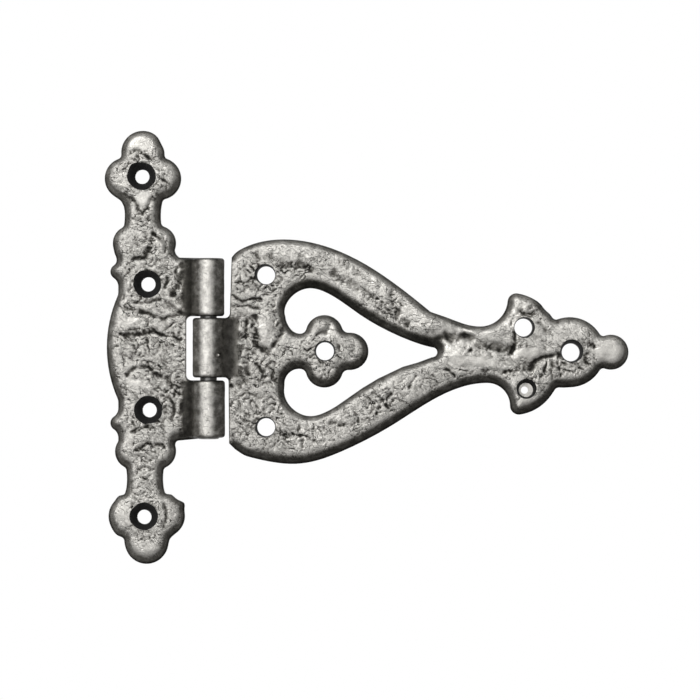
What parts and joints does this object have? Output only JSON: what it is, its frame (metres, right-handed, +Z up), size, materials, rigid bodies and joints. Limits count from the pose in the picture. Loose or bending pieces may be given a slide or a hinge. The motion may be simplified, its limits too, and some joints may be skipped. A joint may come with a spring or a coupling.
{
  "type": "tee hinge",
  "caption": "Cast ornamental tee hinge: a screw-on frame plate with trefoil ends, an upright pin and a long pierced strap shaped round a heart, with foils at its tip.",
  "frame": {"origin": "on the back of the frame plate, midway between its two inner screw holes", "axes": "+X from the frame plate towards the tip of the strap, +Z up along the hinge pin, +Y out of the back into the frame or door the hinge is screwed to"},
  "size_m": [0.1524, 0.0092, 0.126],
  "materials": {
    "cast_iron": "rough",
    "pin_steel": "satin"
  },
  "bodies": {
    "frame_leaf": {"frame_plate": "cast_iron", "hinge_pin": "pin_steel"},
    "door_leaf": {"door_strap": "cast_iron"}
  },
  "joints": [
    {"name": "door_swing", "type": "hinge", "parent": "frame_leaf", "child": "door_leaf", "pos_m": [0.0175, -0.0046, 0], "axis": [0, 0, -1], "range_deg": [-90, 180]}
  ]
}
